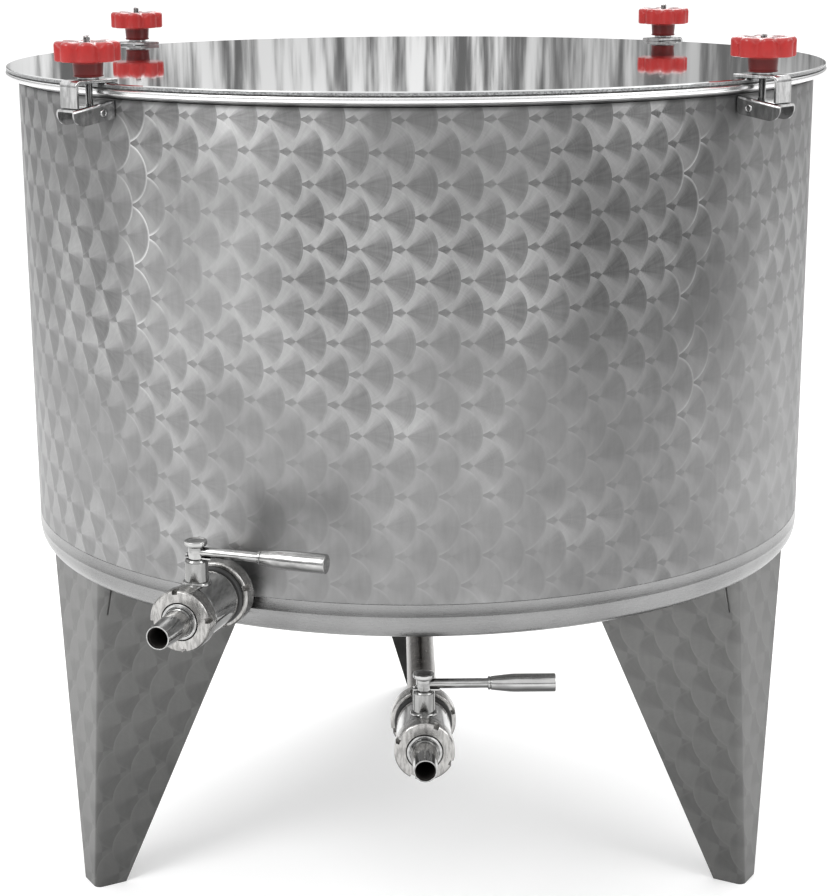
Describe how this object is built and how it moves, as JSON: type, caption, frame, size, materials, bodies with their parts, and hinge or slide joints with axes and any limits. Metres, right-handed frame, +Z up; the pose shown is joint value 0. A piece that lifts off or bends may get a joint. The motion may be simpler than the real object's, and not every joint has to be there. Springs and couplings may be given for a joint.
{
  "type": "maceration tank",
  "caption": "Round stainless maceration tank on folded sheet legs, with a flat lid held by screw clamps, a side outlet and a bottom drain, each with a lever ball valve.",
  "frame": {"origin": "middle of the object's plan box at floor level; the tank's own axis lies 0.058 m behind it, because the side outlet reaches forward", "axes": "+Z up, the drain valve and side outlet face -Y, +X to the right seen from the front"},
  "size_m": [1.031, 1.1474, 1.087],
  "materials": {
    "ground_steel": "stainless sheet with an engine-turned pattern of ground discs",
    "plain_steel": "plain satin stainless",
    "mirror_steel": "polished stainless",
    "red_plastic": "moulded red plastic, slightly glossy",
    "black_rubber": "black seal rubber"
  },
  "bodies": {
    "tank": {"tank_shell": "ground_steel", "leg_front_left": "ground_steel", "leg_front_right": "ground_steel", "leg_rear": "ground_steel", "tank_bottom": "plain_steel", "shell_rim": "plain_steel", "leg_gusset_front_left": "plain_steel", "leg_gusset_front_right": "plain_steel", "leg_gusset_rear": "plain_steel", "drain_pipe": "plain_steel", "lid": "mirror_steel", "lid_gasket": "black_rubber", "clamp_bridge_front_left": "plain_steel", "clamp_jaw_front_left": "plain_steel", "clamp_stud_front_left": "plain_steel", "clamp_bridge_front_right": "plain_steel", "clamp_jaw_front_right": "plain_steel", "clamp_stud_front_right": "plain_steel", "clamp_bridge_rear_right": "plain_steel", "clamp_jaw_rear_right": "plain_steel", "clamp_stud_rear_right": "plain_steel", "clamp_bridge_rear_left": "plain_steel", "clamp_jaw_rear_left": "plain_steel", "clamp_stud_rear_left": "plain_steel", "side_front_nut": "mirror_steel", "side_rear_nut": "mirror_steel", "side_valve_body": "mirror_steel", "side_hose_tail": "mirror_steel", "side_stem_housing": "mirror_steel", "side_seal_ring": "black_rubber", "drain_front_nut": "mirror_steel", "drain_rear_nut": "mirror_steel", "drain_valve_body": "mirror_steel", "drain_hose_tail": "mirror_steel", "drain_stem_housing": "mirror_steel", "drain_seal_ring": "black_rubber", "side_outlet_stub": "mirror_steel"},
    "side_valve_handle": {"side_handle": "mirror_steel", "side_grip": "mirror_steel"},
    "drain_valve_handle": {"drain_handle": "mirror_steel", "drain_grip": "mirror_steel"},
    "knob_front_left": {"clamp_knob_front_left": "red_plastic"},
    "knob_front_right": {"clamp_knob_front_right": "red_plastic"},
    "knob_rear_right": {"clamp_knob_rear_right": "red_plastic"},
    "knob_rear_left": {"clamp_knob_rear_left": "red_plastic"}
  },
  "joints": [
    {"name": "side_handle_turn", "type": "hinge", "parent": "tank", "child": "side_valve_handle", "pos_m": [-0.24178, -0.47219, 0.5359], "axis": [0, 0, -1], "range_deg": [0, 90]},
    {"name": "drain_handle_turn", "type": "hinge", "parent": "tank", "child": "drain_valve_handle", "pos_m": [0.00557, -0.37902, 0.3463], "axis": [0, 0, -1], "range_deg": [0, 90]},
    {"name": "knob_turn_front_left", "type": "hinge", "parent": "tank", "child": "knob_front_left", "pos_m": [-0.36001, -0.32112, 1.05], "axis": [0, 0, 1], "continuous": true},
    {"name": "knob_turn_front_right", "type": "hinge", "parent": "tank", "child": "knob_front_right", "pos_m": [0.38498, -0.29576, 1.05], "axis": [0, 0, 1], "continuous": true},
    {"name": "knob_turn_rear_right", "type": "hinge", "parent": "tank", "child": "knob_rear_right", "pos_m": [0.35935, 0.43824, 1.05], "axis": [0, 0, 1], "continuous": true},
    {"name": "knob_turn_rear_left", "type": "hinge", "parent": "tank", "child": "knob_rear_left", "pos_m": [-0.39947, 0.39582, 1.05], "axis": [0, 0, 1], "continuous": true}
  ]
}
